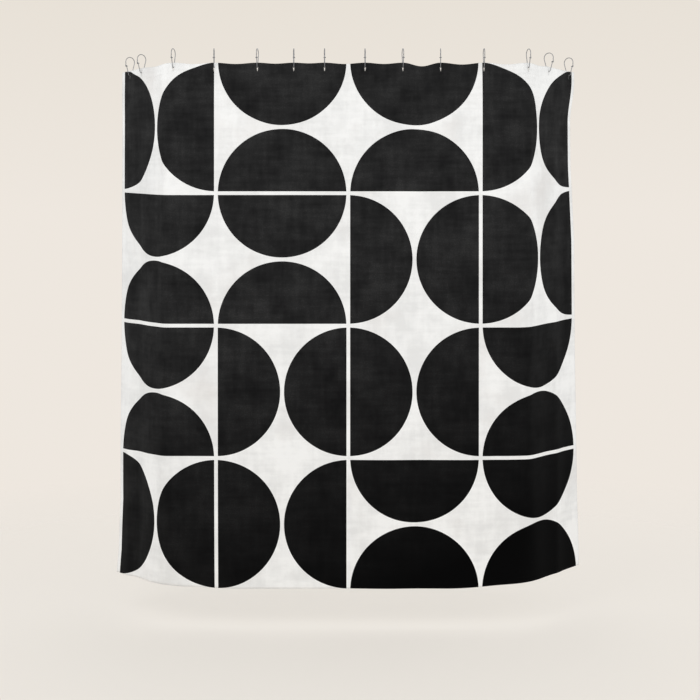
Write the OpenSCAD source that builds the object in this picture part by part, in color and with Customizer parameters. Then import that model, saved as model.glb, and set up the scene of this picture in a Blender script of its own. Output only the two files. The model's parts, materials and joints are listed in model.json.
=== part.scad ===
// Shower curtain hung on wire hooks: a printed polyester sheet with folded hems, a stiffener in
// the header, a row of stitched buttonholes, and one pear-shaped wire hook in each buttonhole.
//
// Frame: the origin is on the centre line of the rod that the hooks hang on, at the middle of the
// curtain. X runs along the rod, -Y faces the room and +Z is up. Lengths are in millimetres.
// The rod is a ring round a tub: straight in front, with both ends of the curtain turning back
// round its corners. A place along the cloth or the rod is given as s, its distance from the
// middle measured along the curve; o is a distance out of the cloth towards the room.

/* [Sheet] */
// Finished width of the sheet, measured along the cloth
sheet_w = 1920; // [1890:1:1960]
// Finished height of the sheet
sheet_h = 1880; // [1700:5:2000]
// Thickness of one layer of cloth
cloth_t = 0.6; // [0.4:0.1:1]
// Height of the header, the folded hem along the top edge
header_h = 40; // [35:1:60]
// Height of the bottom hem
bottom_hem_h = 25; // [15:1:40]
// Width of the hem down each side edge
side_hem_w = 12; // [8:1:15]

/* [Seams] */
// Width of a row of stitches
seam_w = 0.8; // [0.6:0.1:1.2]
// How far a row of stitches stands out of the cloth
seam_t = 0.3; // [0.2:0.1:0.5]
// Distance of a row of stitches from the folded edge it holds down
seam_in = 2; // [1:0.5:4]

/* [Rod path] */
// Distance from the middle of the rod to the start of each corner
rod_straight = 610; // [600:5:620]
// Radius of the rod's corners, to its centre line
rod_corner_r = 90; // [80:5:120]
// Angle that the rod has turned back by after a corner, where it runs straight again
rod_corner_turn = 51; // [40:1:60]
// Diameter of the rod that the hooks fit
rod_d = 25.4; // [19:0.1:28]
// Height from the rod's centre line down to the top edge of the sheet
top_drop = 36; // [34:1:45]

/* [Buttonholes] */
// Distance from the top edge of the sheet to the top of a buttonhole
slot_down = 15; // [12:1:18]
// Height of the open slot
slot_h = 15; // [12:1:18]
// Width of the open slot
slot_w = 4.4; // [4:0.1:6]
// Width of the stitched border round the slot
border_w = 2.2; // [1.5:0.1:3]
// How far the stitched border stands out of the cloth on each face
border_t = 0.4; // [0.2:0.1:0.6]
// Gap between the stitched border and the cloth cut away for it
border_gap = 0.3; // [0.3:0.05:0.5]

/* [Hooks] */
// Diameter of the hook wire
wire_d = 2.8; // [2.4:0.1:3]
// Inside radius of the wide top of the hook
hook_top_r = 17; // [16:0.5:20]
// Radius of the narrow bottom of the hook, to the middle of the wire
hook_low_r = 7; // [6:0.5:9]
// How much fuller the wire is at a bend or a blunt end than along its length, on its radius
knuckle = 0.1; // [0.05:0.05:0.2]
// Space between the wire and the top of its slot
wire_gap = 1; // [0.8:0.1:1.5]
// Distance down the front leg from the top bend to the catch
catch_down = 11; // [10:1:14]
// Space between the catch and the wire that it holds
catch_gap = 0.5; // [0.4:0.1:0.8]
// Angle that the catch wraps round the wire
catch_wrap = 300; // [240:10:320]

/* [Hidden] */
$fn = 48;

// Where the hooks were left along the rod, from left to right
hook_s = [-901, -817, -626, -480, -325, -195, -85, 60, 195, 330, 485, 646, 771, 916];

eps = 0.01;
corner_steps = 16;
corner_length = rod_corner_r * rod_corner_turn * PI / 180;
sheet_half = sheet_w / 2;
sheet_top = -top_drop;
sheet_bottom = sheet_top - sheet_h;
face_o = cloth_t / 2;
header_back_o = -face_o - 2 * cloth_t;
hem_back_o = -face_o - cloth_t;

wire_r = wire_d / 2;
knuckle_r = wire_r + knuckle;
slot_top = sheet_top - slot_down;
wire_z = slot_top - wire_gap - wire_r;
hook_top_mid_r = hook_top_r + wire_r;
hook_top_z = rod_d / 2 - hook_top_r;
hook_low_z = wire_z + hook_low_r;
hook_centres = hook_top_z - hook_low_z;
leg_turn = asin((hook_top_mid_r - hook_low_r) / hook_centres);
leg_length = sqrt(pow(hook_centres, 2) - pow(hook_top_mid_r - hook_low_r, 2));
catch_r = wire_d + catch_gap;

// ---- the curve that the rod and the cloth follow, seen from above ----

function in_corner(s) = min(corner_length, max(0, abs(s) - rod_straight));
function past_corner(s) = max(0, abs(s) - rod_straight - corner_length);
function turn(s) = in_corner(s) / rod_corner_r * 180 / PI;
function heading(s) = sign(s) * turn(s);
function path_x(s) = sign(s) * (min(abs(s), rod_straight) + rod_corner_r * sin(turn(s))
    + past_corner(s) * cos(rod_corner_turn));
function path_y(s) = rod_corner_r * (1 - cos(turn(s))) + past_corner(s) * sin(rod_corner_turn);
function at(s, o) = [path_x(s) + o * sin(heading(s)), path_y(s) - o * cos(heading(s))];

// Places where the cloth is allowed to change direction, from one side edge to the other
right_knots = concat(
    [for (i = [0 : corner_steps]) rod_straight + i * corner_length / corner_steps],
    [sheet_half - side_hem_w, sheet_half]);
knots = concat([for (i = [len(right_knots) - 1 : -1 : 0]) -right_knots[i]], right_knots);

// A wall of cloth that follows the curve, between two places, two heights and two faces
module cloth_wall(s_from, s_to, z_low, z_high, o_back, o_front) {
    run = [for (s = knots) if (s >= s_from - eps && s <= s_to + eps) s];
    last = len(run) - 1;
    translate([0, 0, z_low])
        linear_extrude(z_high - z_low)
            polygon(concat(
                [for (i = [0 : last]) at(run[i], o_front)],
                [for (i = [last : -1 : 0]) at(run[i], o_back)]));
}

// Puts its children under the rod at s, with local X along the cloth and local -Y to the room
module place(s) {
    translate([path_x(s), path_y(s), 0])
        rotate([0, 0, heading(s)])
            children();
}

// ---- sheet, hems and seams ----

// Slot outline with round ends, grown by a margin, as a prism between two faces of the cloth
module slot_prism(margin, o_back, o_front) {
    half_w = slot_w / 2 + margin;
    reach = slot_h / 2 - slot_w / 2;
    translate([0, -o_back, slot_top - slot_h / 2])
        rotate([90, 0, 0])
            linear_extrude(o_front - o_back) {
                translate([-half_w, -reach]) square([2 * half_w, 2 * reach]);
                for (end = [-1, 1]) translate([0, end * reach]) circle(half_w);
            }
}

module buttonhole_cuts() {
    for (s = hook_s)
        place(s) slot_prism(border_w + border_gap, header_back_o - 1, face_o + 1);
}

module curtain_panel() {
    color([0.93, 0.92, 0.9]) difference() {
        cloth_wall(-sheet_half, sheet_half, sheet_bottom, sheet_top, -face_o, face_o);
        buttonhole_cuts();
    }
}

module header_stiffener() {
    color([0.85, 0.85, 0.83]) difference() {
        cloth_wall(-sheet_half, sheet_half, sheet_top - header_h, sheet_top,
            -face_o - cloth_t, -face_o);
        buttonhole_cuts();
    }
}

module header_hem() {
    color([0.95, 0.95, 0.93]) difference() {
        cloth_wall(-sheet_half, sheet_half, sheet_top - header_h, sheet_top,
            header_back_o, -face_o - cloth_t);
        buttonhole_cuts();
    }
}

module bottom_hem() {
    color([0.95, 0.95, 0.93])
        cloth_wall(-sheet_half, sheet_half, sheet_bottom, sheet_bottom + bottom_hem_h,
            hem_back_o, -face_o);
}

module side_hem(side) {
    inner = side * (sheet_half - side_hem_w);
    outer = side * sheet_half;
    color([0.95, 0.95, 0.93])
        cloth_wall(min(inner, outer), max(inner, outer), sheet_bottom + bottom_hem_h,
            sheet_top - header_h, hem_back_o, -face_o);
}

// One row of stitches along the cloth, seen on its front and on its back
module level_seam(z, o_back) {
    color([0.9, 0.9, 0.88]) {
        cloth_wall(-sheet_half, sheet_half, z - seam_w / 2, z + seam_w / 2, face_o, face_o + seam_t);
        cloth_wall(-sheet_half, sheet_half, z - seam_w / 2, z + seam_w / 2, o_back - seam_t, o_back);
    }
}

// One row of stitches down a side edge, on the flat strip of cloth that the side hem covers
module side_seam(side) {
    inner = at(side * (sheet_half - side_hem_w), 0);
    outer = at(side * sheet_half, 0);
    z_low = sheet_bottom + bottom_hem_h;
    height = sheet_h - header_h - bottom_hem_h;
    color([0.9, 0.9, 0.88])
        translate([inner.x, inner.y, z_low])
            rotate([0, 0, atan2(outer.y - inner.y, outer.x - inner.x) - (side < 0 ? 180 : 0)])
                for (face = [-face_o - seam_t, -hem_back_o])
                    translate([side * (seam_in + seam_w / 2) - seam_w / 2, face, 0])
                        cube([seam_w, seam_t, height]);
}

module header_seam() level_seam(sheet_top - header_h + seam_in, header_back_o);
module bottom_seam() level_seam(sheet_bottom + bottom_hem_h - seam_in, hem_back_o);

// The thread worked round one slot, through all the layers of the header
module buttonhole(number) {
    back = header_back_o - border_t;
    front = face_o + border_t;
    color([0.9, 0.9, 0.88]) place(hook_s[number - 1]) difference() {
        slot_prism(border_w, back, front);
        slot_prism(0, back - 1, front + 1);
    }
}

// ---- hooks ----

// A straight length of wire between two points
module wire_run(from, to) {
    along = to - from;
    length = norm(along);
    translate(from)
        rotate([0, acos(along.z / length), atan2(along.y, along.x)])
            cylinder(h = length, r = wire_r);
}

// A bend of wire in the hook's own plane, round a centre at height z.
// Angles start at the back, +Y, and go up over the top.
module wire_bend(z, mid_r, start, sweep) {
    translate([0, 0, z])
        rotate([90, 0, 90])
            rotate([0, 0, start])
                rotate_extrude(angle = sweep)
                    translate([mid_r, 0]) circle(wire_r);
}

// A point on a leg, which runs straight from the top bend to the bottom bend. side is 1 for the
// back leg and -1 for the front one, down is along the leg and out is away from the middle.
function leg_point(side, down, out) =
    let (out_y = cos(leg_turn), out_z = -sin(leg_turn))
    [0, side * ((hook_top_mid_r + out) * out_y + down * out_z),
        hook_top_z + (hook_top_mid_r + out) * out_z - down * out_y];

// The wire's rounded corner between two lengths, or its blunt end
module wire_knuckle(point) {
    translate(point) sphere(knuckle_r);
}

// The end of the wire that comes over the rod, turned round the other end to keep the hook shut
module hook_catch() {
    top = leg_point(-1, 0, 0);
    step_out = leg_point(-1, catch_down - catch_r - wire_r, catch_r);
    ring_start = leg_point(-1, catch_down, catch_r);
    wire_knuckle(top);
    wire_run(top, step_out);
    wire_knuckle(step_out);
    wire_run(step_out, ring_start);
    wire_knuckle(ring_start);
    translate(leg_point(-1, catch_down, 0))
        rotate([leg_turn, 0, 0])
            rotate([0, 0, -90]) {
                rotate_extrude(angle = catch_wrap) translate([catch_r, 0]) circle(wire_r);
                rotate([0, 0, catch_wrap]) wire_knuckle([catch_r, 0, 0]);
            }
}

module hook(number) {
    back_high = leg_point(1, 0, 0);
    back_low = leg_point(1, leg_length, 0);
    front_low = leg_point(-1, leg_length, 0);
    tip = leg_point(-1, catch_down - wire_r - 2, 0);
    color([0.55, 0.55, 0.56]) place(hook_s[number - 1]) {
        wire_bend(hook_top_z, hook_top_mid_r, -leg_turn, 180 + 2 * leg_turn);
        wire_knuckle(back_high);
        wire_run(back_high, back_low);
        wire_knuckle(back_low);
        wire_bend(hook_low_z, hook_low_r, 180 + leg_turn, 180 - 2 * leg_turn);
        wire_knuckle(front_low);
        wire_run(front_low, tip);
        wire_knuckle(tip);
        hook_catch();
    }
}

curtain_panel();
header_stiffener();
header_hem();
bottom_hem();
side_hem(-1);  // left_hem
side_hem(1);  // right_hem
header_seam();
bottom_seam();
side_seam(-1);  // left_seam
side_seam(1);  // right_seam
buttonhole(1);  // buttonhole_01
buttonhole(2);  // buttonhole_02
buttonhole(3);  // buttonhole_03
buttonhole(4);  // buttonhole_04
buttonhole(5);  // buttonhole_05
buttonhole(6);  // buttonhole_06
buttonhole(7);  // buttonhole_07
buttonhole(8);  // buttonhole_08
buttonhole(9);  // buttonhole_09
buttonhole(10);  // buttonhole_10
buttonhole(11);  // buttonhole_11
buttonhole(12);  // buttonhole_12
buttonhole(13);  // buttonhole_13
buttonhole(14);  // buttonhole_14
hook(1);  // hook_01
hook(2);  // hook_02
hook(3);  // hook_03
hook(4);  // hook_04
hook(5);  // hook_05
hook(6);  // hook_06
hook(7);  // hook_07
hook(8);  // hook_08
hook(9);  // hook_09
hook(10);  // hook_10
hook(11);  // hook_11
hook(12);  // hook_12
hook(13);  // hook_13
hook(14);  // hook_14
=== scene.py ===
"""Shower curtain: the looks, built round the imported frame.

The cloth is worked out once as a table of places, for every step across (u) and down (d) the flat
sheet. Every layer, hem, stitch and buttonhole is then laid on that table, so they stay together.
u is the distance across the sheet from its middle, d the distance down from its top edge, in metres.
"""

import json
import math

import bpy
import numpy as np
from mathutils import Matrix, Vector
from mathutils.geometry import delaunay_2d_cdt


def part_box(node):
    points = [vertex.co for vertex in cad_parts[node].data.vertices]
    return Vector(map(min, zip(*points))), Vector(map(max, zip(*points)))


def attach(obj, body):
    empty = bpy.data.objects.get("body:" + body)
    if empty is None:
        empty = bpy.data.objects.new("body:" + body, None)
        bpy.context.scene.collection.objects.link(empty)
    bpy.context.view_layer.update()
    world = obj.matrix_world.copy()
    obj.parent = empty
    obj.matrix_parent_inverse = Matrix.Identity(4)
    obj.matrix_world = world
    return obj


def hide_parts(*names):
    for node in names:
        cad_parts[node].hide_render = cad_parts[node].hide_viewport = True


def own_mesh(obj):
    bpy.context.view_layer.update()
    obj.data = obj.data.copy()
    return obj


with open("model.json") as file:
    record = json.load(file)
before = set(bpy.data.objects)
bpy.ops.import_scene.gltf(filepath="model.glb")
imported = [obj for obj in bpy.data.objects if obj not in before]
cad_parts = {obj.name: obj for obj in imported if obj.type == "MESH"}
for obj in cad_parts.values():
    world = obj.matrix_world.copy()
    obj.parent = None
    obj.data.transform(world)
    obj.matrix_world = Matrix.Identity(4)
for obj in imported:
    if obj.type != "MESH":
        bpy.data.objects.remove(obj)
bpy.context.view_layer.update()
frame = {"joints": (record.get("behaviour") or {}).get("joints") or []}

# ---------------------------------------------------------------- measures

# The sheet and its hems, laid flat
SHEET_W = 1.920
SHEET_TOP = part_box("curtain_panel")[1].z
SHEET_H = SHEET_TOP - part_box("curtain_panel")[0].z
HEADER_H = 0.040
BOTTOM_HEM_H = 0.025
SIDE_HEM_W = 0.012
CLOTH_T = 0.0004
LAYER_GAP = 0.0001
SEAM_IN = 0.002

# The rod that it hangs on, which turns back at both ends and isn't made here
ROD_STRAIGHT = 0.610
ROD_CORNER_R = 0.090
ROD_CORNER_TURN = math.radians(51)
ROD_R = 0.0127

# A buttonhole: its slot, which narrows to its foot, and the stitched border round it
SLOT_H = 0.015
SLOT_W = 0.0044
SLOT_FOOT_W = 0.0014
BORDER_W = 0.0022

# A hook: its wire, its wide top and narrow foot, and the ring of its catch
WIRE_R = 0.0014
HOOK_TOP_R = 0.0184
HOOK_LOW_R = 0.007
WIRE_GAP = 0.001
CATCH_DOWN = 0.011
CATCH_R = 0.0033

# One square tile of the print
TILE = 0.4735
FLOOR_DROP = 0.138

ROOT = "curtain"


# ---------------------------------------------------------------- the rod's path and the hooks on it

def turn(s):
    """Angle that the rod has turned back by, at a distance s along it from its middle."""
    return np.clip((np.abs(s) - ROD_STRAIGHT) / ROD_CORNER_R, 0.0, ROD_CORNER_TURN)


def place_along(x, y):
    """Distance along the rod of a point on it."""
    beyond = Vector((abs(x) - ROD_STRAIGHT, y))
    if beyond.x <= 0:
        return x
    corner_end = Vector((math.sin(ROD_CORNER_TURN), 1 - math.cos(ROD_CORNER_TURN))) * ROD_CORNER_R
    run = (beyond - corner_end).dot(Vector((math.cos(ROD_CORNER_TURN), math.sin(ROD_CORNER_TURN))))
    angle = min(ROD_CORNER_TURN, math.atan2(beyond.x, ROD_CORNER_R - y))
    return math.copysign(ROD_STRAIGHT + ROD_CORNER_R * angle + max(0.0, run), x)


class Hook:
    """One hook's pivot, and the directions along the rod and out to the room there."""

    def __init__(self, joint):
        self.node = joint["child"]
        self.number = self.node[-2:]
        self.pivot = Vector(joint["pos_m"])
        self.along = Vector(joint["axis"]).normalized()
        self.out = Vector((self.along.y, -self.along.x, 0.0))
        self.s = place_along(self.pivot.x, self.pivot.y)

    def point(self, across, back, z):
        """A point given in the hook's own plane: back is away from the room."""
        base = self.pivot + self.along * across - self.out * back
        return Vector((base.x, base.y, z))


HOOKS = sorted((Hook(j) for j in frame["joints"] if j["type"] == "hinge"), key=lambda h: h.s)
WIRE_Z = HOOKS[0].pivot.z
SLOT_TOP_D = SHEET_TOP - (WIRE_Z + WIRE_R + WIRE_GAP)


# ---------------------------------------------------------------- how the cloth hangs

# How far the top edge sags between each hook and the next, and how far the header bows out
SPAN_SAG = [0.002, 0.004, 0.006, 0.004, 0.004, 0.003, 0.004, 0.005, 0.014, 0.006, 0.007, 0.003, 0.003]
SPAN_BOW = [0.005, -0.006, 0.005, -0.004, 0.003, 0.004, -0.004, 0.003, 0.007, -0.004, 0.005, -0.005, 0.006]

# Soft folds: where across the sheet, how wide, how deep at the top and at the bottom, and how far
# each drifts sideways on its way down
FOLDS = [
    (-0.905, 0.030, 0.004, 0.005, 0.010),
    (-0.838, 0.028, -0.005, -0.004, 0.010),
    (-0.755, 0.036, 0.003, 0.004, 0.010),
    (-0.540, 0.085, -0.001, -0.003, 0.030),
    (-0.400, 0.070, 0.001, 0.003, 0.010),
    (-0.205, 0.060, 0.002, 0.001, -0.020),
    (-0.060, 0.090, -0.001, -0.003, 0.030),
    (0.115, 0.080, 0.001, 0.004, 0.020),
    (0.270, 0.060, -0.003, -0.002, -0.020),
    (0.410, 0.075, 0.002, 0.002, 0.030),
    (0.545, 0.065, -0.001, -0.004, -0.010),
    (0.748, 0.032, -0.005, -0.001, 0.005),
    (0.818, 0.028, 0.005, 0.003, 0.002),
    (0.892, 0.030, -0.005, -0.001, -0.010),
]

# Each end turns back sharply at one line: how far down the sheet, and by how many degrees there
TURN_DOWN = [0.00, 0.38, 0.66, 1.03, 1.41, 1.60, 1.79, 1.88]
TURN_LEFT = [52.0, 51.6, 51.4, 51.0, 50.0, 49.8, 47.5, 45.0]
TURN_RIGHT = [54.0, 53.2, 50.4, 50.0, 48.6, 48.0, 46.5, 45.5]
# Where across the sheet that line is, left and right, and how wide the turn is there
TURN_FROM = (0.650, 0.638)
TURN_WIDTH = 0.024
# Near the foot the turn is wider, and these degrees of it, left and right, come earlier
FOOT_WIDER = 0.15
FOOT_TURN = (10.0, 8.0)
FOOT_TURN_FROM = 0.34
FOOT_TURN_WIDTH = 0.16

# How far down the sheet, and how far the left and the right edge ride up there
LIFT_DOWN = [0.00, 0.08, 0.28, 0.47, 0.94, 1.41, 1.88]
LIFT_LEFT = [0.000, 0.003, 0.016, 0.023, 0.012, -0.002, 0.002]
LIFT_RIGHT = [0.000, 0.004, 0.020, 0.030, 0.026, 0.010, 0.028]
# Where across the sheet that starts, left and right, how much nearer the middle at the foot, how softly
LIFT_FROM = (0.645, 0.610)
LIFT_SOONER_AT_FOOT = 0.26
LIFT_SOFT = 0.08

# How far down the sheet the folds and the turns set in, and over what length
FOLDS_FROM_D = 0.02
FOLDS_EASE = 0.30
TURNS_FROM_D = 0.03
TURNS_EASE = 0.17
FOOT_POWER = 6
# Over what length down the sheet the header's bows and sags fade out
HEADER_FADE = 0.16
SAG_FADE = 0.11

# The table of the hung sheet, and the finer rows that it is read from
TABLE_STEPS_ACROSS = 320
TABLE_STEPS_DOWN = 235
PLAN_REACH = 1.000
PLAN_STEPS = 2001
SEARCH_STEPS = 6001
SLOPE_REACH = 0.002


def smooth(t):
    """0 below 0, 1 above 1, and eased between."""
    t = np.clip(t, 0.0, 1.0)
    return t * t * (3 - 2 * t)


def span_shape(s, values, d_fade, d):
    """A bump of its own height between each hook and the next, fading down the sheet."""
    total = np.zeros_like(s)
    for left, right, value in zip(HOOKS, HOOKS[1:], values):
        along = np.clip((s - left.s) / (right.s - left.s), 0.0, 1.0)
        total = total + value * np.sin(math.pi * along) ** 2
    return total * np.exp(-d / d_fade)


def bow(s, d):
    """How far the cloth stands out of its plan, towards the room."""
    share = d / SHEET_H
    free = smooth((d - FOLDS_FROM_D) / FOLDS_EASE)
    total = span_shape(s, SPAN_BOW, HEADER_FADE, d)
    for centre, width, top, bottom, drift in FOLDS:
        depth = (top + (bottom - top) * share) * free
        total = total + depth * np.exp(-(((s - centre - drift * share) / width) ** 2))
    return total


def by_side(s, pair):
    """The left or the right one of a pair, by which side of the middle s is on."""
    return np.where(s < 0, pair[0], pair[1])


def near_foot(d):
    """0 over most of the sheet, rising to 1 at its foot."""
    return (d / SHEET_H) ** FOOT_POWER


def plan_heading(s, d):
    """Heading of the cloth seen from above: the rod's own at the header, and freer lower down."""
    far = np.abs(s)
    whole = by_side(s, (np.interp(d, TURN_DOWN, TURN_LEFT), np.interp(d, TURN_DOWN, TURN_RIGHT)))
    early = by_side(s, FOOT_TURN) * near_foot(d)
    free = early * smooth((far - FOOT_TURN_FROM) / FOOT_TURN_WIDTH)
    wider = FOOT_WIDER * near_foot(d)
    sharp = (far - by_side(s, TURN_FROM) + wider / 2) / (TURN_WIDTH + wider)
    free = free + (whole - early) * smooth(sharp)
    by_rod = turn(s)
    loose = smooth((d - TURNS_FROM_D) / TURNS_EASE)
    return np.sign(s) * (by_rod + (np.radians(free) - by_rod) * loose)


def from_middle(steps):
    """Running total of a row of steps, counted from its middle."""
    total = np.cumsum(steps, axis=1)
    middle = total.shape[1] // 2
    return total - total[:, middle:middle + 1]


def lift(u, d):
    """How far the sheet's ends ride up, in a slope that starts softly near where each one turns back."""
    edge = by_side(u, (np.interp(d, LIFT_DOWN, LIFT_LEFT), np.interp(d, LIFT_DOWN, LIFT_RIGHT)))
    start = by_side(u, LIFT_FROM) - LIFT_SOONER_AT_FOOT * near_foot(d)
    share = np.maximum(0.0, (np.abs(u) - start) / (SHEET_W / 2 - start))
    return edge * share ** 2 / (share + LIFT_SOFT) * (1 + LIFT_SOFT)


def hung_table():
    """Places of the hung sheet, a row for each step down and a column for each step across."""
    u = np.linspace(-SHEET_W / 2, SHEET_W / 2, TABLE_STEPS_ACROSS + 1)
    d = np.linspace(0.0, SHEET_H, TABLE_STEPS_DOWN + 1)
    s, dd = np.meshgrid(np.linspace(-PLAN_REACH, PLAN_REACH, PLAN_STEPS), d)
    step = s[0, 1] - s[0, 0]
    heading = plan_heading(s, dd)
    offset = bow(s, dd)
    x = from_middle(np.cos(heading) * step) + offset * np.sin(heading)
    y = from_middle(np.sin(heading) * step) - offset * np.cos(heading)
    # each row keeps its own length, however it bends
    length = from_middle(np.hypot(np.gradient(x, axis=1), np.gradient(y, axis=1)))
    places = np.empty((len(d), len(u), 3))
    for i in range(len(d)):
        along = np.interp(u, length[i], s[i])
        places[i, :, 0] = np.interp(u, length[i], x[i])
        places[i, :, 1] = np.interp(u, length[i], y[i])
        places[i, :, 2] = SHEET_TOP - d[i] - span_shape(along, SPAN_SAG, SAG_FADE, d[i]) + lift(u, d[i])
    return u, d, places


TABLE_U, TABLE_D, TABLE = hung_table()


def cubic_weights(t):
    """Catmull-Rom weights of four neighbours."""
    return (
        ((2 - t) * t - 1) * t / 2,
        (t * t * (3 * t - 5) + 2) / 2,
        ((4 - 3 * t) * t + 1) * t / 2,
        (t - 1) * t * t / 2,
    )


def on_sheet(u, d):
    """Places on the hung sheet for arrays of u and d."""
    u, d = np.asarray(u, float), np.asarray(d, float)
    col = np.clip((u - TABLE_U[0]) / (TABLE_U[1] - TABLE_U[0]), 0, TABLE_STEPS_ACROSS - 1e-9)
    row = np.clip((d - TABLE_D[0]) / (TABLE_D[1] - TABLE_D[0]), 0, TABLE_STEPS_DOWN - 1e-9)
    c0, r0 = np.floor(col).astype(int), np.floor(row).astype(int)
    total = 0.0
    for i, wr in enumerate(cubic_weights(row - r0)):
        rows = np.clip(r0 + i - 1, 0, TABLE_STEPS_DOWN)
        for k, wc in enumerate(cubic_weights(col - c0)):
            cols = np.clip(c0 + k - 1, 0, TABLE_STEPS_ACROSS)
            total = total + TABLE[rows, cols] * (wr * wc)[..., None]
    return total


def sheet_frame(u, d):
    """Place, direction across, direction down and direction out to the room, at points of the sheet."""
    u, d = np.asarray(u, float), np.asarray(d, float)
    right, left = np.minimum(u + SLOPE_REACH, SHEET_W / 2), np.maximum(u - SLOPE_REACH, -SHEET_W / 2)
    below, above = np.minimum(d + SLOPE_REACH, SHEET_H), np.maximum(d - SLOPE_REACH, 0.0)
    across = on_sheet(right, d) - on_sheet(left, d)
    down = on_sheet(u, below) - on_sheet(u, above)
    across /= np.linalg.norm(across, axis=-1, keepdims=True)
    down /= np.linalg.norm(down, axis=-1, keepdims=True)
    out = np.cross(down, across)
    out /= np.linalg.norm(out, axis=-1, keepdims=True)
    return on_sheet(u, d), across, down, out


def layer_frame(u, d, o):
    """As sheet_frame, for a layer that lies o out of the sheet's middle, towards the room."""
    place, across, down, out = sheet_frame(u, d)
    return place + out * np.broadcast_to(o, np.shape(u))[..., None], across, down, out


def layer(u, d, o):
    """Places of such a layer."""
    return layer_frame(u, d, o)[0]


def find_u(hook):
    """Where across the sheet the hook's buttonhole is."""
    u = np.linspace(-SHEET_W / 2, SHEET_W / 2, SEARCH_STEPS)
    row = on_sheet(u, np.full_like(u, SLOT_TOP_D + WIRE_R + WIRE_GAP))
    far = (row[:, 0] - hook.pivot.x) ** 2 + (row[:, 1] - hook.pivot.y) ** 2
    return float(u[int(np.argmin(far))])


for hook in HOOKS:
    hook.u = find_u(hook)


# ---------------------------------------------------------------- making pieces

def new_piece(name, points, faces, materials, uv=None, face_slots=None):
    """A smooth mesh object made from points, faces and flat-cloth coordinates."""
    mesh = bpy.data.meshes.new(name)
    mesh.from_pydata(np.asarray(points, float).tolist(), [], faces)
    for material in materials:
        mesh.materials.append(material)
    if uv is not None:
        flat = mesh.uv_layers.new(name="flat")
        corner = np.zeros(len(mesh.loops), int)
        mesh.loops.foreach_get("vertex_index", corner)
        flat.data.foreach_set("uv", np.asarray(uv, np.float32)[corner].ravel())
    if face_slots is not None:
        mesh.polygons.foreach_set("material_index", np.asarray(face_slots, np.int32))
    mesh.polygons.foreach_set("use_smooth", np.ones(len(mesh.polygons), bool))
    mesh.update()
    piece = bpy.data.objects.new(name, mesh)
    bpy.context.scene.collection.objects.link(piece)
    return piece


def tubes(paths, sideways, radius, sides, closed):
    """Many like threads at once. Every path is a row of points, and sideways a direction across it."""
    count, length, _ = paths.shape
    if closed:
        along = np.roll(paths, -1, axis=1) - np.roll(paths, 1, axis=1)
    else:
        along = np.gradient(paths, axis=1)
    along /= np.linalg.norm(along, axis=2, keepdims=True)
    wide = sideways[:, None, :] - along * np.sum(along * sideways[:, None, :], axis=2, keepdims=True)
    wide /= np.linalg.norm(wide, axis=2, keepdims=True)
    high = np.cross(along, wide)
    angles = np.arange(sides) * 2 * math.pi / sides
    spokes = wide[:, :, None, :] * np.cos(angles)[:, None] + high[:, :, None, :] * np.sin(angles)[:, None]
    points = (paths[:, :, None, :] + spokes * radius).reshape(-1, 3)
    ring = np.arange(length if closed else length - 1)[:, None]
    side = np.arange(sides)[None, :]
    after, beside = (ring + 1) % length, (side + 1) % sides
    here, there = ring * sides, after * sides
    quads = np.stack([here + side, here + beside, there + beside, there + side], axis=-1)
    start = np.arange(count)[:, None, None] * (length * sides)
    faces = (start + quads.reshape(1, -1, 4)).reshape(-1, 4).tolist()
    if not closed:
        for first in range(0, count * length * sides, length * sides):
            faces.append(list(range(first + sides - 1, first - 1, -1)))
            faces.append(list(range(first + (length - 1) * sides, first + length * sides)))
    return points, faces


# The rounded end of a wire: each ring's angle on from the last full one
WIRE_END = (75, 50, 25)


def wire(path, radius, sides):
    """Points and faces of one round wire with rounded ends, whose frame never twists."""
    path = [Vector(p) for p in path]
    last = len(path) - 1
    rings = []
    normal = (path[1] - path[0]).orthogonal().normalized()
    for i, centre in enumerate(path):
        along = (path[min(i + 1, last)] - path[max(i - 1, 0)]).normalized()
        normal = (normal - along * normal.dot(along)).normalized()
        rings.append((centre, along, normal, radius))
    rings = wire_end(rings[0], -1) + rings + wire_end(rings[-1], 1)[::-1]
    points, faces = [], []
    for centre, along, side, r in rings:
        other = along.cross(side)
        for k in range(sides):
            a = 2 * math.pi * k / sides
            points.append(centre + (side * math.cos(a) + other * math.sin(a)) * r)
    for i in range(len(rings) - 1):
        for k in range(sides):
            n = (k + 1) % sides
            faces.append((i * sides + k, i * sides + n, (i + 1) * sides + n, (i + 1) * sides + k))
    faces.append(tuple(range(sides - 1, -1, -1)))
    faces.append(tuple((len(rings) - 1) * sides + k for k in range(sides)))
    return points, faces


def wire_end(ring, way):
    """Smaller rings past the end of a wire, the furthest one first."""
    centre, along, normal, radius = ring
    rings = []
    for a in np.radians(WIRE_END):
        rings.append((centre + along * (way * radius * math.sin(a)), along, normal, radius * math.cos(a)))
    return rings


# ---------------------------------------------------------------- materials

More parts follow.
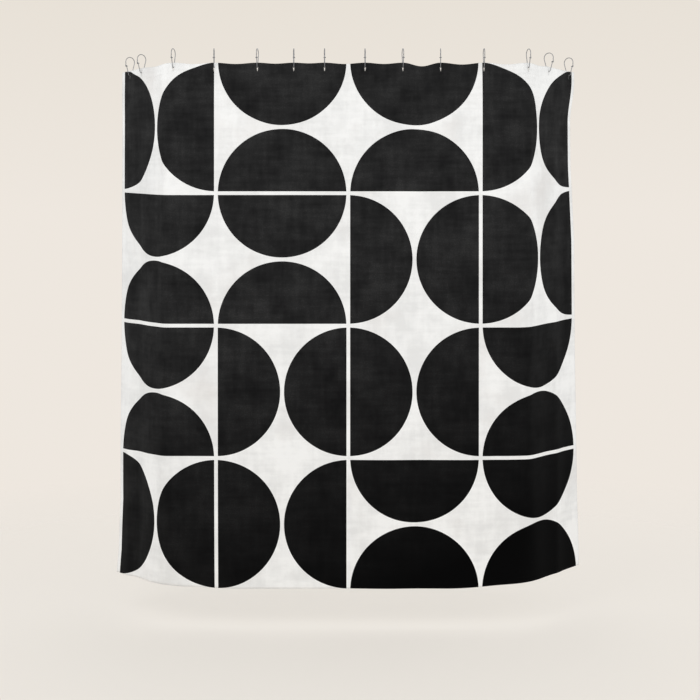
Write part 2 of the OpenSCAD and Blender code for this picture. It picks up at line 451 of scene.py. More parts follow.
class Shading:
    """A new material and short ways to add nodes to it."""

    def __init__(self, name):
        self.material = bpy.data.materials.new(name)
        self.material.use_nodes = True
        self.nodes = self.material.node_tree.nodes
        self.links = self.material.node_tree.links
        self.shader = self.nodes["Principled BSDF"]

    def put(self, socket, value):
        """A socket takes a number, a colour or another socket."""
        if isinstance(value, (int, float)):
            socket.default_value = value
        elif isinstance(value, tuple):
            socket.default_value = value if len(value) == len(socket.default_value) else (*value, 1.0)
        else:
            self.links.new(value, socket)

    def maths(self, operation, a, b=0.0):
        """The result of one sum."""
        node = self.nodes.new("ShaderNodeMath")
        node.operation = operation
        self.put(node.inputs[0], a)
        self.put(node.inputs[1], b)
        return node.outputs[0]

    def mix(self, factor, a, b):
        """A colour between a and b."""
        node = self.nodes.new("ShaderNodeMix")
        node.data_type = "RGBA"
        self.put(node.inputs[0], factor)
        self.put(node.inputs[6], a)
        self.put(node.inputs[7], b)
        return node.outputs[2]

    def noise(self, vector, stretch, scale, detail=3.0, roughness=0.55):
        """Cloudy noise from 0 to 1, drawn out where stretch is below 1."""
        node = self.nodes.new("ShaderNodeTexNoise")
        node.inputs["Scale"].default_value = scale
        node.inputs["Detail"].default_value = detail
        node.inputs["Roughness"].default_value = roughness
        pulled = self.nodes.new("ShaderNodeVectorMath")
        pulled.operation = "MULTIPLY"
        pulled.inputs[1].default_value = stretch
        self.links.new(vector, pulled.inputs[0])
        self.links.new(pulled.outputs[0], node.inputs["Vector"])
        return node.outputs[0]

    def remap(self, value, low, high, to_low=0.0, to_high=1.0):
        """Moves the range from low to high onto another one, and stops at its ends."""
        node = self.nodes.new("ShaderNodeMapRange")
        for name, number in (("From Min", low), ("From Max", high), ("To Min", to_low), ("To Max", to_high)):
            node.inputs[name].default_value = number
        self.links.new(value, node.inputs["Value"])
        return node.outputs[0]

    def flat(self):
        """The flat-cloth coordinates, and u and d by themselves."""
        node = self.nodes.new("ShaderNodeUVMap")
        node.uv_map = "flat"
        parts = self.nodes.new("ShaderNodeSeparateXYZ")
        self.links.new(node.outputs[0], parts.inputs[0])
        return node.outputs[0], parts.outputs[0], parts.outputs[1]

    def place(self):
        """The piece's own coordinates."""
        return self.nodes.new("ShaderNodeTexCoord").outputs["Object"]

    def bump(self, height, strength, distance, under=None):
        """A normal bent by a height, on top of another one where under is given."""
        node = self.nodes.new("ShaderNodeBump")
        node.inputs["Strength"].default_value = strength
        node.inputs["Distance"].default_value = distance
        self.links.new(height, node.inputs["Height"])
        if under is not None:
            self.links.new(under, node.inputs["Normal"])
        return node.outputs[0]

    def finish(self, color, normal, roughness, metallic=0.0, specular=0.5, sheen=0.0):
        """Sets the surface and gives the material back."""
        self.put(self.shader.inputs["Base Color"], color)
        self.put(self.shader.inputs["Normal"], normal)
        self.put(self.shader.inputs["Roughness"], roughness)
        self.shader.inputs["Metallic"].default_value = metallic
        self.shader.inputs["Specular IOR Level"].default_value = specular
        self.shader.inputs["Sheen Weight"].default_value = sheen
        self.shader.inputs["Sheen Roughness"].default_value = SHEEN_ROUGHNESS
        return self.material


EVEN = (1.0, 1.0, 1.0)
DOWN_THE_SHEET = (1.0, 0.16, 1.0)
ACROSS_THE_SHEET = (0.12, 1.0, 1.0)
ALONG_THE_WIRE = (6.0, 6.0, 0.6)
SHEEN_ROUGHNESS = 0.4

CLOTH_WHITE = (0.930, 0.930, 0.918)
CLOTH_CLOUD = (0.815, 0.815, 0.805)
CLOTH_DUST = (0.740, 0.712, 0.690)
# The darkest ink is not a denser ink: it is painted shade, laid over the ink towards the foot and the right
INK_PAINTED_SHADE = (0.0010, 0.0010, 0.0011)
INK_DENSE = (0.0095, 0.0095, 0.0098)
INK_SOFT = (0.0240, 0.0240, 0.0242)
INK_RUBBED = (0.0520, 0.0520, 0.0515)
INTERLINING_DARK = (0.72, 0.72, 0.70)
INTERLINING_LIGHT = (0.85, 0.85, 0.83)
THREAD_DARK = (0.74, 0.74, 0.72)
THREAD_LIGHT = (0.86, 0.86, 0.84)
STEEL_DARK = (0.20, 0.20, 0.205)
STEEL_LIGHT = (0.36, 0.36, 0.365)

# How much of the ink shows on the back of the sheet, and on the buttonhole thread
GHOST_SHARE = 0.10
HOLE_INK_SHARE = 0.90
# A half disc's radius, and the bare line along its flat side, as shares of a tile
DISC_R_SHARE = 0.4855
BORDER_SHARE = 0.0138
THREAD_PITCH = 0.0006
# How much the painted shade on the ink, darker towards the foot and the right, leans to the right, and over
# what distance it sets in
PAINTED_SHADE_SLANT = 0.4
PAINTED_SHADE_FROM = 0.75
PAINTED_SHADE_TO = 1.95


def plain_weave(sh, u, d):
    """Threads across and down, each standing up where it passes over the other."""
    turns = math.pi / THREAD_PITCH
    return sh.maths("MULTIPLY", sh.maths("SINE", sh.maths("MULTIPLY", u, turns)),
                    sh.maths("SINE", sh.maths("MULTIPLY", d, turns)))


def print_mask(sh, u, d):
    """1 on the ink of the half-disc print, 0 on the bare cloth.

    The sheet is ruled in square tiles. A tile holds two half discs, each centred on the middle of a
    border, on two opposite borders. Which two goes by the diagonal that the tile lies on: two
    diagonals of turned tiles, then two of upright ones.
    """
    across = sh.maths("DIVIDE", sh.maths("ADD", u, 2 * TILE), TILE)
    down = sh.maths("DIVIDE", sh.maths("ADD", d, (4 * TILE - SHEET_H) / 2), TILE)
    column, row = sh.maths("FLOOR", across), sh.maths("FLOOR", down)
    x = sh.maths("SUBTRACT", sh.maths("SUBTRACT", across, column), 0.5)
    y = sh.maths("SUBTRACT", sh.maths("SUBTRACT", down, row), 0.5)
    diagonal = sh.maths("FLOORED_MODULO", sh.maths("ADD", sh.maths("ADD", row, column), 3.0), 4.0)
    turned = sh.maths("LESS_THAN", diagonal, 1.5)
    upright = sh.maths("SUBTRACT", 1.0, turned)
    # along runs from one flat side to the other, beside runs along the flat sides
    along = sh.maths("ADD", sh.maths("MULTIPLY", turned, y), sh.maths("MULTIPLY", upright, x))
    beside = sh.maths("ADD", sh.maths("MULTIPLY", turned, x), sh.maths("MULTIPLY", upright, y))
    from_border = sh.maths("SUBTRACT", 0.5, sh.maths("ABSOLUTE", along))
    far = sh.maths("SQRT", sh.maths("ADD", sh.maths("MULTIPLY", from_border, from_border),
                                    sh.maths("MULTIPLY", beside, beside)))
    in_disc = sh.maths("LESS_THAN", far, DISC_R_SHARE)
    off_border = sh.maths("GREATER_THAN", from_border, BORDER_SHARE)
    in_print = sh.maths("LESS_THAN", sh.maths("ABSOLUTE", u), 2 * TILE)
    return sh.maths("MULTIPLY", sh.maths("MULTIPLY", in_disc, off_border), in_print)


def cloth_material(name, ink_share):
    """Woven polyester. ink_share is how much of the ink shows: 1 in front, a little behind."""
    sh = Shading(name)
    flat, u, d = sh.flat()
    clouds = sh.noise(flat, EVEN, scale=7.0, detail=6.0, roughness=0.62)
    drops = sh.noise(flat, DOWN_THE_SHEET, scale=46.0)
    lines = sh.noise(flat, ACROSS_THE_SHEET, scale=60.0)
    slubs = sh.noise(flat, EVEN, scale=230.0, roughness=0.65)
    streaks = sh.maths("ADD", sh.maths("MULTIPLY", drops, 0.5), sh.maths("MULTIPLY", lines, 0.5))
    worn = sh.maths("ADD", sh.maths("MULTIPLY", clouds, 0.62), sh.maths("MULTIPLY", streaks, 0.38))
    bare = sh.mix(sh.remap(worn, low=0.42, high=0.56), CLOTH_CLOUD, CLOTH_WHITE)
    dusty = sh.noise(flat, EVEN, scale=3.1, detail=5.0, roughness=0.6)
    bare = sh.mix(sh.remap(dusty, low=0.52, high=0.70, to_high=0.60), bare, CLOTH_DUST)
    # painted shade: the ink is darkened towards the foot and the right
    leaning = sh.maths("ADD", d, sh.maths("MULTIPLY", u, PAINTED_SHADE_SLANT))
    painted_shade = sh.remap(leaning, PAINTED_SHADE_FROM, PAINTED_SHADE_TO)
    ink = sh.mix(sh.remap(worn, low=0.38, high=0.60), INK_DENSE, INK_SOFT)
    rubbed = sh.remap(sh.maths("MULTIPLY", worn, slubs), low=0.27, high=0.42, to_high=0.55)
    ink = sh.mix(rubbed, ink, INK_RUBBED)
    # painted shade laid over the ink
    ink = sh.mix(painted_shade, ink, INK_PAINTED_SHADE)
    mask = sh.maths("MULTIPLY", print_mask(sh, u, d), ink_share)
    color = sh.mix(mask, bare, ink)
    height = sh.maths("ADD", sh.maths("MULTIPLY", plain_weave(sh, u, d), 0.6), slubs)
    normal = sh.bump(streaks, strength=0.20, distance=0.0015)
    normal = sh.bump(height, strength=0.30, distance=0.00012, under=normal)
    return sh.finish(color, normal, roughness=0.85, specular=0.05, sheen=0.02)


def thread_material(name):
    """Spun thread."""
    sh = Shading(name)
    fibres = sh.noise(sh.place(), EVEN, scale=2500.0, detail=2.0, roughness=0.6)
    color = sh.mix(fibres, THREAD_DARK, THREAD_LIGHT)
    normal = sh.bump(fibres, strength=0.4, distance=0.0001)
    return sh.finish(color, normal, roughness=0.6, specular=0.3, sheen=0.1)


def interlining_material(name):
    """Matted fibres that aren't woven."""
    sh = Shading(name)
    fibres = sh.noise(sh.place(), EVEN, scale=900.0, detail=4.0, roughness=0.7)
    color = sh.mix(fibres, INTERLINING_DARK, INTERLINING_LIGHT)
    normal = sh.bump(fibres, strength=0.5, distance=0.0002)
    return sh.finish(color, normal, roughness=0.95, specular=0.1)


def wire_material(name):
    """Steel wire, a little tarnished and scratched."""
    sh = Shading(name)
    place = sh.place()
    tarnish = sh.noise(place, EVEN, scale=180.0, detail=4.0, roughness=0.6)
    scratch = sh.noise(place, ALONG_THE_WIRE, scale=900.0, detail=2.0, roughness=0.6)
    color = sh.mix(tarnish, STEEL_DARK, STEEL_LIGHT)
    rough = sh.remap(scratch, low=0.3, high=0.7, to_low=0.16, to_high=0.34)
    normal = sh.bump(scratch, strength=0.1, distance=0.0001)
    return sh.finish(color, normal, roughness=rough, metallic=1.0)


PRINTED = cloth_material("printed_cloth", ink_share=1.0)
REVERSE = cloth_material("cloth_reverse", ink_share=GHOST_SHARE)
HEM = cloth_material("hem_cloth", ink_share=0.0)
HOLE_THREAD = cloth_material("buttonhole_thread", ink_share=HOLE_INK_SHARE)
INTERLINING = interlining_material("interlining")
WHITE_THREAD = thread_material("seam_thread")
WIRE = wire_material("hook_wire")


# ---------------------------------------------------------------- sheet and hems

# How far outside a slot the cloth is cut, and how far its grid keeps off the cut
SLOT_CUT = 0.0004
GRID_CLEAR = 0.0008
CUT_STEPS = 10
# The middles of the round ends of a slot, as distances down the sheet
SLOT_HIGH = SLOT_TOP_D + SLOT_W / 2
SLOT_LOW = SLOT_TOP_D + SLOT_H - SLOT_FOOT_W / 2

# From the middle of one layer of cloth to the next, and how many lie behind the header and a hem
LAYER = CLOTH_T + LAYER_GAP
HEADER_LAYERS = 2
HEM_LAYERS = 1
HEADER_FOLD_H = HEADER_H - 0.001
HEADER_FOLD_STEPS = 9
ROUND_STEPS = 7

# The grid of the sheet: one row of columns, and rows with and without buttonholes
GRID_ACROSS = np.linspace(-SHEET_W / 2 + LAYER / 2, SHEET_W / 2 - LAYER / 2, 351)
HEADER_FOOT_D = 0.045
HEADER_ROWS = np.linspace(LAYER, HEADER_FOOT_D, 10)
BODY_ROWS = np.linspace(HEADER_FOOT_D, SHEET_H - LAYER / 2, 236)
SIDE_ROWS = np.linspace(HEADER_H, SHEET_H - BOTTOM_HEM_H, 231)


def slot_outline(u, margin, steps):
    """Flat outline of a buttonhole, grown by a margin, as points (u, d) in order.

    The hook's wire holds its top open, and its foot is nearly closed.
    """
    arc = np.linspace(0, math.pi, steps + 1)
    high, low = SLOT_W / 2 + margin, SLOT_FOOT_W / 2 + margin
    top = np.stack([u - high * np.cos(arc), SLOT_HIGH - high * np.sin(arc)], axis=1)
    bottom = np.stack([u + low * np.cos(arc), SLOT_LOW + low * np.sin(arc)], axis=1)
    return np.concatenate([top, bottom])


def from_slot(u, d, hook):
    """Distance from a buttonhole's border, below 0 inside it."""
    level = min(max(d, SLOT_HIGH), SLOT_LOW)
    closing = (level - SLOT_HIGH) / (SLOT_LOW - SLOT_HIGH)
    radius = SLOT_W / 2 + (SLOT_FOOT_W - SLOT_W) / 2 * closing
    return math.hypot(u - hook.u, d - level) - radius


def plain_strip(columns, rows):
    """Flat points and faces of a strip of cloth."""
    wide = len(columns)
    points = np.array([(u, t) for t in rows for u in columns])
    faces = []
    for r in range(len(rows) - 1):
        for c in range(wide - 1):
            a = r * wide + c
            faces.append((a, a + wide, a + wide + 1, a + 1))
    return points, faces


def cut_strip(columns, rows):
    """Flat points and faces of a strip of cloth with the buttonholes cut out."""
    grid, _ = plain_strip(columns, rows)
    near = SLOT_CUT + GRID_CLEAR
    points = [Vector(p) for p in grid if all(from_slot(*p, hook) > near for hook in HOOKS)]
    edges = []
    for hook in HOOKS:
        outline = slot_outline(hook.u, SLOT_CUT, CUT_STEPS)
        start = len(points)
        points.extend(Vector(p) for p in outline)
        edges.extend((start + i, start + (i + 1) % len(outline)) for i in range(len(outline)))
    made, _, triangles, _, _, _ = delaunay_2d_cdt(points, edges, [], 0, 1e-7)
    made = np.array([tuple(p) for p in made])
    faces = []
    for face in triangles:
        u, d = made[list(face)].mean(axis=0)
        if all(from_slot(u, d, hook) > SLOT_CUT for hook in HOOKS):
            faces.append(tuple(face))
    return made, faces


def merge_strips(strips):
    """Joins strips that share their border points into one flat mesh."""
    index, points, faces = {}, [], []
    for strip_points, strip_faces in strips:
        renamed = []
        for u, d in strip_points.tolist():
            key = (round(u, 6), round(d, 6))
            if key not in index:
                index[key] = len(points)
                points.append(key)
            renamed.append(index[key])
        faces.extend(tuple(renamed[i] for i in face) for face in strip_faces)
    return np.array(points), faces


def facing_room(points, faces):
    """Turns every flat face the way round that faces the room once it is hung."""
    turned = []
    for face in faces:
        p = points[list(face)]
        q = np.roll(p, -1, axis=0)
        area = np.sum(p[:, 0] * q[:, 1] - q[:, 0] * p[:, 1])
        turned.append(face if area < 0 else face[::-1])
    return turned


def thicken(piece, back_slot=0):
    """Gives a layer the thickness of cloth, and its back and rim a material of their own."""
    solid = piece.modifiers.new("thickness", "SOLIDIFY")
    solid.thickness = CLOTH_T
    solid.offset = 0.0
    solid.material_offset = back_slot
    solid.material_offset_rim = back_slot
    return piece


def with_cloth(piece, node):
    """The piece stands for a node of the sheet, and is hung from the sheet's root."""
    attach(piece, ROOT)
    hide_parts(node)
    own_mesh(piece)
    return piece


def fold(t, layers):
    """Distance in from the edge, and offset behind the sheet, a length t along a folded hem.

    t below 0 is the round of the fold, which comes up from the sheet. t above 0 is the flat of the
    hem, which lies the given number of layers behind the sheet.
    """
    r = layers * LAYER / 2
    angle = np.minimum(0.0, t) / r
    return r + np.maximum(0.0, t) - r * np.sin(-angle), -r - r * np.cos(angle)


def fold_rows(layers, width, steps):
    """Lengths along a folded hem, close together on the round of the fold."""
    r = layers * LAYER / 2
    return np.concatenate([np.linspace(-math.pi * r, 0.0, ROUND_STEPS)[:-1], np.linspace(0.0, width, steps)])


def make_panel():
    """The printed sheet."""
    header = cut_strip(GRID_ACROSS, HEADER_ROWS)
    points, faces = merge_strips([header, plain_strip(GRID_ACROSS, BODY_ROWS)])
    places = on_sheet(points[:, 0], points[:, 1])
    piece = new_piece("cloth_panel", places, facing_room(points, faces), [PRINTED, REVERSE], uv=points)
    thicken(piece, back_slot=1)
    return with_cloth(piece, "curtain_panel")


def make_interlining():
    """The stiffener between the sheet and the header's fold."""
    rows = np.linspace(2 * LAYER, HEADER_FOLD_H, HEADER_FOLD_STEPS)
    points, faces = cut_strip(GRID_ACROSS, rows)
    places = layer(points[:, 0], points[:, 1], -LAYER)
    piece = new_piece("header_interlining", places, facing_room(points, faces), [INTERLINING])
    thicken(piece)
    return with_cloth(piece, "header_stiffener")


def make_header_hem():
    """The header's fold, whose round edge shows the print."""
    rows = fold_rows(HEADER_LAYERS, HEADER_FOLD_H, HEADER_FOLD_STEPS)
    points, faces = cut_strip(GRID_ACROSS, rows)
    d, o = fold(points[:, 1], HEADER_LAYERS)
    flat = np.stack([points[:, 0], d], axis=1)
    faces = facing_room(points, faces)
    on_round = [int(points[list(face), 1].mean() < 0) for face in faces]
    places = layer(points[:, 0], d, o)
    piece = new_piece("header_fold", places, faces, [HEM, PRINTED], uv=flat, face_slots=on_round)
    thicken(piece)
    return with_cloth(piece, "header_hem")


def make_bottom_hem():
    points, faces = plain_strip(GRID_ACROSS, fold_rows(HEM_LAYERS, BOTTOM_HEM_H, steps=6))
    inward, o = fold(points[:, 1], HEM_LAYERS)
    flat = np.stack([points[:, 0], SHEET_H - inward], axis=1)
    places = layer(flat[:, 0], flat[:, 1], o)
    piece = new_piece("bottom_fold", places, facing_room(flat, faces), [HEM], uv=flat)
    thicken(piece)
    return with_cloth(piece, "bottom_hem")


def make_side_hem(side, name, node):
    """The hem of one side edge: side is -1 for the left and 1 for the right."""
    points, faces = plain_strip(fold_rows(HEM_LAYERS, SIDE_HEM_W, steps=5), SIDE_ROWS)
    inward, o = fold(points[:, 0], HEM_LAYERS)
    flat = np.stack([side * (SHEET_W / 2 - inward), points[:, 1]], axis=1)
    places = layer(flat[:, 0], flat[:, 1], o)
    piece = new_piece(name, places, facing_room(flat, faces), [HEM], uv=flat)
    thicken(piece)
    return with_cloth(piece, node)


panel = make_panel()
hems = [
    make_interlining(),
    make_header_hem(),
    make_bottom_hem(),
    make_side_hem(-1, "left_fold", "left_hem"),
    make_side_hem(1, "right_fold", "right_hem"),
]


# ---------------------------------------------------------------- stitching

# A stitch of a seam: its length with the gap after it, and how it rises out of the cloth in thread radii
STITCH = 0.0034
STITCH_GAP = 0.0008
STITCH_RISE = np.array([-0.7, 0.5, 0.8, 0.5, -0.7])
THREAD_R = 0.00018
THREAD_SIDES = 5

# A loop of a buttonhole: how far it reaches over the border, and how high it stands in front and behind
LOOP_PITCH = 0.00052
LOOP_R = LOOP_PITCH * 0.52
LOOP_IN = 0.0001
LOOP_STEPS = 14
LOOP_REACH = np.array([0.0, 0.1, 0.5, 1.0, 1.0, 0.5, 0.1, 0.0])
LOOP_FRONT = np.array([0.3, 1.0, 1.3, 0.8, 0.0, 0.0, 0.0, 0.0])
LOOP_BACK = np.array([0.0, 0.0, 0.0, 0.0, 0.85, 1.1, 1.0, 0.4])

# Where the rows of stitches run and end
SEAM_EDGE = SHEET_W / 2 - 0.002
HEADER_SEAM_D = HEADER_H - SEAM_IN
BOTTOM_SEAM_D = SHEET_H - BOTTOM_HEM_H + SEAM_IN
SIDE_SEAM_U = SHEET_W / 2 - SIDE_HEM_W + SEAM_IN
SIDE_SEAM_TOP = HEADER_H + 0.002
SIDE_SEAM_FOOT = BOTTOM_SEAM_D - 0.003


def stitch_row(start, end, o):
    """One row of stitches on one face of the cloth, with their flat-cloth coordinates."""
    start, end = np.array(start), np.array(end)
    length = np.linalg.norm(end - start)
    count = int(length / STITCH)
    share = (np.arange(count)[:, None] + np.linspace(0, 1 - STITCH_GAP / STITCH, len(STITCH_RISE))) / count
    flat = start + (end - start) * share[..., None]
    rise = STITCH_RISE * THREAD_R * math.copysign(1, o)
    paths, across, down, _ = layer_frame(flat[..., 0], flat[..., 1], o + rise)
    sideways = down[:, 2] if abs(end[0] - start[0]) > abs(end[1] - start[1]) else across[:, 2]
    points, faces = tubes(paths, sideways, THREAD_R, THREAD_SIDES, closed=False)
    return points, faces, np.repeat(flat.reshape(-1, 2), THREAD_SIDES, axis=0)


def seam(name, node, start, end, layers):
    """A row of stitches in front, printed over like the cloth, and one behind."""
    front, front_faces, front_uv = stitch_row(start, end, CLOTH_T / 2)
    back, back_faces, back_uv = stitch_row(start, end, -layers * LAYER - CLOTH_T / 2)
    faces = front_faces + [[i + len(front) for i in face] for face in back_faces]
    slots = [0] * len(front_faces) + [1] * len(back_faces)
    points, uv = np.concatenate([front, back]), np.concatenate([front_uv, back_uv])
    piece = new_piece(name, points, faces, [PRINTED, WHITE_THREAD], uv=uv, face_slots=slots)
    return with_cloth(piece, node)


def buttonhole(hook):
    """Close stitches worked over the edge of the slot, one loop each, all the way round."""
    outline = dense_loop(slot_outline(hook.u, -LOOP_IN, LOOP_STEPS), LOOP_PITCH)
    middle = np.stack([np.full(len(outline), hook.u), np.clip(outline[:, 1], SLOT_HIGH, SLOT_LOW)], axis=1)
    away = outline - middle
    away /= np.linalg.norm(away, axis=1, keepdims=True)
    front, back = CLOTH_T / 2 + THREAD_R, -HEADER_LAYERS * LAYER - CLOTH_T / 2 - THREAD_R
    reach = LOOP_REACH * BORDER_W
    height = LOOP_FRONT * front + LOOP_BACK * back
    flat = outline[:, None, :] + away[:, None, :] * reach[None, :, None]
    paths, across, down, _ = layer_frame(flat[..., 0], flat[..., 1], height)
    # across the stitch, along the edge of the slot
    sideways = down[:, 0] * away[:, :1] - across[:, 0] * away[:, 1:]
    points, faces = tubes(paths, sideways, LOOP_R, THREAD_SIDES, closed=True)
    uv = np.repeat(flat.reshape(-1, 2), THREAD_SIDES, axis=0)
    piece = new_piece(f"buttonhole_stitches_{hook.number}", points, faces, [HOLE_THREAD], uv=uv)
    node = f"buttonhole_{hook.number}"
    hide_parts(node)
    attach(piece, ROOT if hook is HOOKS[0] else f"{node}_place")
    return piece


def dense_loop(outline, pitch):
    """Evenly spaced points along a closed outline."""
    around = np.concatenate([outline, outline[:1]])
    lengths = np.concatenate([[0.0], np.cumsum(np.linalg.norm(np.diff(around, axis=0), axis=1))])
    count = int(lengths[-1] / pitch)
    places = np.arange(count) * lengths[-1] / count
    return np.stack([np.interp(places, lengths, around[:, k]) for k in (0, 1)], axis=1)


header_ends = (-SEAM_EDGE, HEADER_SEAM_D), (SEAM_EDGE, HEADER_SEAM_D)
bottom_ends = (-SEAM_EDGE, BOTTOM_SEAM_D), (SEAM_EDGE, BOTTOM_SEAM_D)
seams = [
    seam("header_stitching", "header_seam", *header_ends, HEADER_LAYERS),
    seam("bottom_stitching", "bottom_seam", *bottom_ends, HEM_LAYERS),
]
for side, word in ((-1, "left"), (1, "right")):
    top, foot = (side * SIDE_SEAM_U, SIDE_SEAM_TOP), (side * SIDE_SEAM_U, SIDE_SEAM_FOOT)
    seams.append(seam(f"{word}_stitching", f"{word}_seam", top, foot, HEM_LAYERS))
holes = [buttonhole(hook) for hook in HOOKS]


# ---------------------------------------------------------------- hooks

HOOK_TOP_Z = ROD_R - (HOOK_TOP_R - WIRE_R)
HOOK_LOW_Z = WIRE_Z + HOOK_LOW_R
LEG_TURN = math.asin((HOOK_TOP_R - HOOK_LOW_R) / (HOOK_TOP_Z - HOOK_LOW_Z))
LEG_LENGTH = math.sqrt((HOOK_TOP_Z - HOOK_LOW_Z) ** 2 - (HOOK_TOP_R - HOOK_LOW_R) ** 2)
LEG_FROM, LEG_TO = LEG_LENGTH * 0.04, LEG_LENGTH * 0.97
TIP_ABOVE_CATCH = 0.002
CATCH_FROM = 0.0005
CATCH_BEND = 0.0015
CATCH_RING = (12, 300)
WIRE_SIDES = 14
# How far each hook has twisted on the rod, in degrees
TWISTS = [0, 3, -5, 3, -7, 6, 4, -4, 7, -5, 3, -6, 4, 0]


def leg_point(side, down, out):
    """(back, z) on a leg: side is 1 for the back leg and -1 for the front one."""
    across, drop = math.cos(LEG_TURN), math.sin(LEG_TURN)
    back = side * ((HOOK_TOP_R + out) * across - down * drop)
    return back, HOOK_TOP_Z - (HOOK_TOP_R + out) * drop - down * across


def bend_points(z, radius, start, end, steps):
    """(back, z) round a bend. Angles start at the back and go up over the top."""
    return [(radius * math.cos(a), z + radius * math.sin(a)) for a in np.linspace(start, end, steps)]


def eased(points, reach, steps=5):
    """A path with its corners rounded."""
    made = [points[0]]
    for before, corner, after in zip(points, points[1:], points[2:]):
        a = corner + (before - corner).normalized() * min(reach, (before - corner).length / 2)
        b = corner + (after - corner).normalized() * min(reach, (after - corner).length / 2)
        for t in np.linspace(0, 1, steps + 1):
            made.append(a * (1 - t) ** 2 + corner * (2 * t * (1 - t)) + b * t ** 2)
    return made + [points[-1]]


def hook_path(hook):
    """The wire's line: free tip, down the front, round the foot, up the back, over and to the catch."""
    flat = [leg_point(-1, CATCH_DOWN - WIRE_R - TIP_ABOVE_CATCH, 0)]
    flat += [leg_point(-1, down, 0) for down in np.linspace(CATCH_DOWN, LEG_TO, 8)]
    flat += bend_points(HOOK_LOW_Z, HOOK_LOW_R, math.pi + LEG_TURN, 2 * math.pi - LEG_TURN, 15)
    flat += [leg_point(1, down, 0) for down in np.linspace(LEG_TO, LEG_FROM, 8)]
    flat += bend_points(HOOK_TOP_Z, HOOK_TOP_R, -LEG_TURN, math.pi + LEG_TURN, 33)
    body = [hook.point(0.0, back, z) for back, z in flat]
    top = leg_point(-1, CATCH_FROM, 0)
    step = leg_point(-1, CATCH_DOWN - CATCH_R - WIRE_R, CATCH_R)
    ring_start = leg_point(-1, CATCH_DOWN, CATCH_R)
    bent = eased([hook.point(0.0, *p) for p in (top, step, ring_start)], CATCH_BEND)
    middle = Vector(leg_point(-1, CATCH_DOWN, 0))
    outward = Vector(ring_start) - middle
    ring = []
    for a in np.radians(np.linspace(*CATCH_RING, 20)):
        back, z = middle + outward * math.cos(a)
        ring.append(hook.point(-CATCH_R * math.sin(a), back, z))
    return body + bent + ring


def make_hook(hook, twist):
    """One wire hook, twisted about the upright line through its pivot."""
    about = Matrix.Rotation(math.radians(twist), 3, "Z")
    path = [hook.pivot + about @ (p - hook.pivot) for p in hook_path(hook)]
    points, faces = wire(path, WIRE_R, WIRE_SIDES)
    piece = new_piece(f"wire_hook_{hook.number}", points, faces, [WIRE])
    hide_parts(hook.node)
    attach(piece, hook.node)
    return piece


hooks = [make_hook(hook, twist) for hook, twist in zip(HOOKS, TWISTS)]


# ---------------------------------------------------------------- floor, light and camera

BACKDROP_MIDDLE = (0.855, 0.800, 0.737)
BACKDROP_TOP = (0.806, 0.753, 0.680)
BACKDROP_BLEND = (0.04, 0.20)
FLOOR_COLOR = (0.452, 0.430, 0.402)
FLOOR_GLOW = (0.403, 0.384, 0.354)
FLOOR_RADIUS = 4.0
FLOOR_RINGS = 24
FLOOR_SIDES = 72
# How far out the floor starts to fade, and has gone
FLOOR_FADE = (0.9, 3.6)

WORLD_LIGHT = 0.80
LIGHT_SIZE = (2.4, 2.4)

CAMERA_DISTANCE = 4.7
VIEW_WIDTH = 2.502
VIEW_X = 0.006
VIEW_Z = -1.063
CAMERA_RAISE = 0.30


def make_floor():
    """A round floor whose rim fades into the backdrop."""
    z = SHEET_TOP - SHEET_H - FLOOR_DROP
    angles = [2 * math.pi * k / FLOOR_SIDES for k in range(FLOOR_SIDES)]
    points = [(0.0, 0.0, z)]
    for ring in range(1, FLOOR_RINGS + 1):
        r = FLOOR_RADIUS * ring / FLOOR_RINGS
        points.extend((r * math.cos(a), r * math.sin(a), z) for a in angles)
    faces = [(0, 1 + k, 1 + (k + 1) % FLOOR_SIDES) for k in range(FLOOR_SIDES)]
    for ring in range(FLOOR_RINGS - 1):
        inner = 1 + ring * FLOOR_SIDES
        outer = inner + FLOOR_SIDES
        for k in range(FLOOR_SIDES):
            n = (k + 1) % FLOOR_SIDES
            faces.append((inner + k, outer + k, outer + n, inner + n))
    sh = Shading("studio_floor")
    sh.put(sh.shader.inputs["Base Color"], FLOOR_COLOR)
    sh.put(sh.shader.inputs["Emission Color"], FLOOR_GLOW)
    sh.put(sh.shader.inputs["Emission Strength"], 1.0)
    sh.put(sh.shader.inputs["Roughness"], 0.9)
    sh.put(sh.shader.inputs["Specular IOR Level"], 0.1)
    level = sh.nodes.new("ShaderNodeVectorMath")
    level.operation = "MULTIPLY"
    level.inputs[1].default_value = (1.0, 1.0, 0.0)
    sh.links.new(sh.place(), level.inputs[0])
    length = sh.nodes.new("ShaderNodeVectorMath")
    length.operation = "LENGTH"
    sh.links.new(level.outputs[0], length.inputs[0])
    sh.put(sh.shader.inputs["Alpha"], sh.remap(length.outputs[1], *FLOOR_FADE, to_low=1.0, to_high=0.0))
    new_piece("studio_floor", points, faces, [sh.material])


def area_light(name, place, target, power, shade=True):
    """A square lamp turned to a target."""
    data = bpy.data.lights.new(name, "AREA")
    data.use_shadow = shade
    data.shape = "RECTANGLE"
    data.size, data.size_y = LIGHT_SIZE
    data.energy = power
    light = bpy.data.objects.new(name, data)
    bpy.context.scene.collection.objects.link(light)
    light.location = place
    light.rotation_mode = "QUATERNION"
    light.rotation_quaternion = (Vector(target) - Vector(place)).to_track_quat("-Z", "Y")


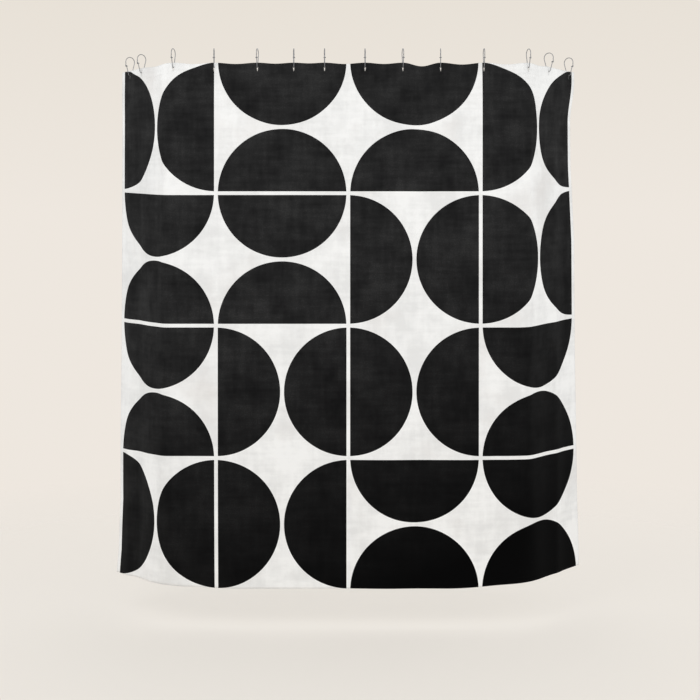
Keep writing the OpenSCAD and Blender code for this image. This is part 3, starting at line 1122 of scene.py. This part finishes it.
def make_world():
    """A warm pale backdrop to look at, and plain white light from all round."""
    world = bpy.data.worlds.new("studio")
    world.use_nodes = True
    nodes, links = world.node_tree.nodes, world.node_tree.links
    seen = nodes["Background"]
    around = nodes.new("ShaderNodeBackground")
    around.inputs[0].default_value = (1.0, 1.0, 1.0, 1.0)
    around.inputs[1].default_value = WORLD_LIGHT
    height = nodes.new("ShaderNodeSeparateXYZ")
    links.new(nodes.new("ShaderNodeTexCoord").outputs["Generated"], height.inputs[0])
    rising = nodes.new("ShaderNodeMapRange")
    rising.inputs["From Min"].default_value, rising.inputs["From Max"].default_value = BACKDROP_BLEND
    links.new(height.outputs[2], rising.inputs["Value"])
    blend = nodes.new("ShaderNodeMix")
    blend.data_type = "RGBA"
    blend.inputs[6].default_value = (*BACKDROP_MIDDLE, 1.0)
    blend.inputs[7].default_value = (*BACKDROP_TOP, 1.0)
    links.new(rising.outputs[0], blend.inputs[0])
    links.new(blend.outputs[2], seen.inputs[0])
    choose = nodes.new("ShaderNodeMixShader")
    links.new(nodes.new("ShaderNodeLightPath").outputs["Is Camera Ray"], choose.inputs[0])
    links.new(around.outputs[0], choose.inputs[1])
    links.new(seen.outputs[0], choose.inputs[2])
    links.new(choose.outputs[0], nodes["World Output"].inputs[0])
    bpy.context.scene.world = world


def make_light():
    middle = (0.0, 0.0, SHEET_TOP - SHEET_H / 2)
    area_light("key", (-2.0, -2.6, 1.3), middle, power=27.0)
    area_light("fill", (2.6, -2.0, 0.2), middle, power=16.0)
    area_light("back", (1.2, 3.2, 0.2), middle, power=9.0, shade=False)


def make_camera():
    """A level camera that stands higher than the middle of the picture, and is shifted down to it."""
    data = bpy.data.cameras.new("camera")
    data.sensor_width = 36.0
    data.lens = data.sensor_width * CAMERA_DISTANCE / VIEW_WIDTH
    data.shift_y = -CAMERA_RAISE / VIEW_WIDTH
    camera = bpy.data.objects.new("camera", data)
    camera.location = (VIEW_X, -CAMERA_DISTANCE, VIEW_Z + CAMERA_RAISE)
    camera.rotation_euler = (math.radians(90), 0, 0)
    bpy.context.scene.collection.objects.link(camera)
    bpy.context.scene.camera = camera


bpy.context.scene.view_settings.view_transform = "Standard"
make_world()
make_floor()
make_light()
make_camera()
